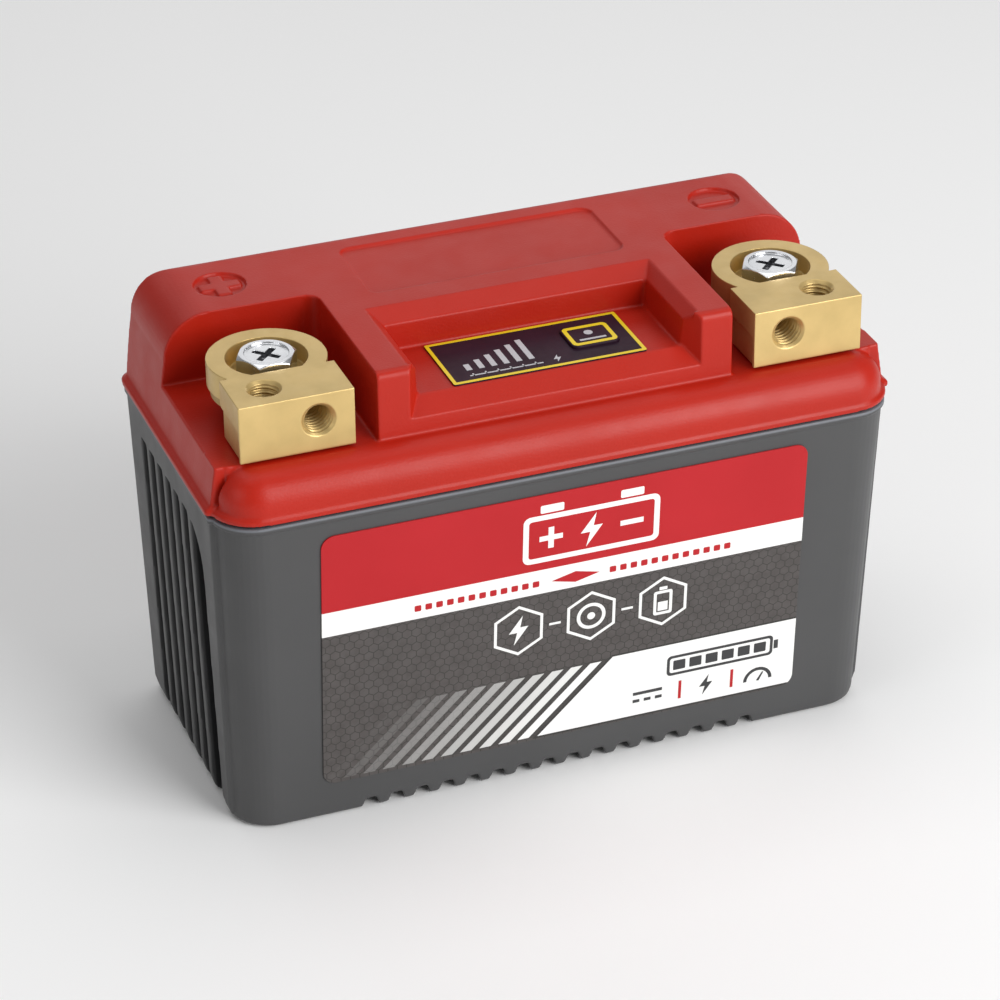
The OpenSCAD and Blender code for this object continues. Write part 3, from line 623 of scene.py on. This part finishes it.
box += [(arc_o + arc_i, []), ([(39.9, 10.5), (40.5, 10.4), (41.4, 12.3), (41.1, 12.4)], [])]
decal("print_box_signs", box, m_darkprint, ML, P0, P1)
decal("print_box_rules", [(rect(23.6, 10.2, 0.6, 4.2), []), (rect(34.4, 10.2, 0.6, 4.2), [])], m_redprint, ML, P0, P1)

# ------------------------------------------------------------------ gauge
gx, gy, pz = 0.3, -13.5, 83.0
bx, by = 11.2, -13.0
hole = rounded(bx - 4.8, by - 4.0, bx + 4.8, by + 4.0, 1.25)
film = prism("gauge_film", rounded(gx - 18.8, gy - 8.2, gx + 18.8, gy + 8.2, 0.4), pz, pz + 0.33, holes=[hole])
put(film, m_plum, "battery", ("gauge_overlay",))
frame_y = prism("gauge_border", rounded(gx - 18.8, gy - 8.2, gx + 18.8, gy + 8.2, 0.4), pz + 0.31, pz + 0.37,
                holes=[rounded(gx - 18.1, gy - 7.5, gx + 18.1, gy + 7.5, 0.2)])
put(frame_y, m_yellow, "battery")
for i in range(6):
    x = -13.9 + i * 2.42
    y0, y1 = -17.3, -15.0 + i * 1.12
    bar = prism("level_bar_%d" % (i + 1), [(x - 0.55, y0), (x + 0.55, y0), (x + 0.55, y1), (x - 0.55, y1)], pz + 0.32, pz + 0.38)
    put(bar, m_silver, "battery")
# scale line under the bars
ticks = [(rect(-14.6, -19.6, 14.2, 0.35), [])] + [(rect(-14.0 + i * 2.42, -19.6, 0.3, 0.9), []) for i in range(6)]
ticks += [(flash(2.6, -18.8, 2.6), [])]
decal("gauge_scale", ticks, m_silver, Matrix.Identity(4), pz + 0.31, pz + 0.37, "battery")
key = soften(copy_node("test_button", "test_key_cap"), 0.16 * MM, 2, 0.5)
put(key, m_plum, "test_key", ("test_button",))
kz = pz + 0.85
kf = prism("test_key_frame", rounded(bx - 4.4, by - 3.6, bx + 4.4, by + 3.6, 1.0), kz - 0.05, kz + 0.04,
           holes=[rounded(bx - 3.6, by - 2.75, bx + 3.6, by + 2.75, 0.5)])
put(kf, m_yellow, "test_key")
kl = prism("test_key_bar", rounded(bx - 2.6, by - 2.0, bx + 2.6, by - 1.45, 0.1), kz - 0.05, kz + 0.04)
dot = prism("test_key_dot", disc(bx, by + 0.75, 0.85, 24), kz - 0.05, kz + 0.04)
put(dot, m_silver, "test_key")
put(kl, m_silver, "test_key")

# ------------------------------------------------------------------ stage, light, camera
fl = mesh_ob("floor", [(-6, -6, -0.0002), (6, -6, -0.0002), (6, 6, -0.0002), (-6, 6, -0.0002)], [(0, 1, 2, 3)])
fm = plastic("floor_pale", (0.93, 0.93, 0.93), 0.7, var=0.01, bump=0.0, big=2)
paint(fl, fm)

world = bpy.data.worlds.new("studio")
bpy.context.scene.world = world
world.use_nodes = True
bg = world.node_tree.nodes["Background"]
bg.inputs["Color"].default_value = (1, 1, 1, 1)
bg.inputs["Strength"].default_value = 0.26


def area(name, loc, target, size, power, size_y=None, color=(1, 1, 1)):
    l = bpy.data.lights.new(name, "AREA")
    l.energy = power
    l.size = size
    l.color = color
    if size_y:
        l.shape = "RECTANGLE"
        l.size_y = size_y
    o = link(bpy.data.objects.new(name, l))
    o.location = loc
    d = Vector(target) - Vector(loc)
    o.rotation_euler = d.to_track_quat("-Z", "Y").to_euler()
    return o


area("top", (0.0, 0.10, 0.80), (0, 0, 0.05), 0.9, 2.0, 0.6)
area("key", (0.50, -0.85, 0.50), (0, 0, 0.05), 0.8, 12.0, 0.8)
area("backdrop", (0.35, 1.15, 0.62), (0, 0, 0.05), 1.7, 3.0, 0.8)
area("left", (-0.85, -0.30, 0.40), (0, 0, 0.05), 0.5, 1.0, 0.5)

yaw, pitch, roll = math.radians(-20.40), math.radians(29.76), math.radians(-0.61)
dist, f_px, tx, tz = 0.73356, 3841.3, -0.00177, -0.00079
back = Vector((math.sin(yaw) * math.cos(pitch), -math.cos(yaw) * math.cos(pitch), math.sin(pitch)))
right = (-back).cross(Vector((0, 0, 1))).normalized()
up = right.cross(-back)
r2 = right * math.cos(roll) + up * math.sin(roll)
u2 = -right * math.sin(roll) + up * math.cos(roll)
cam_d = bpy.data.cameras.new("camera")
cam_d.sensor_width = 36.0
cam_d.sensor_fit = "HORIZONTAL"
cam_d.lens = f_px / 1000 * 36.0
cam_d.clip_start = 0.02
cam = link(bpy.data.objects.new("camera", cam_d))
pos = Vector((0, 0, 0.045)) + back * dist + r2 * tx + u2 * tz
cam.matrix_world = Matrix((
    (r2.x, u2.x, back.x, pos.x),
    (r2.y, u2.y, back.y, pos.y),
    (r2.z, u2.z, back.z, pos.z),
    (0, 0, 0, 1)))
bpy.context.scene.camera = cam
bpy.context.scene.view_settings.view_transform = "Standard"
bpy.context.scene.view_settings.look = "None"
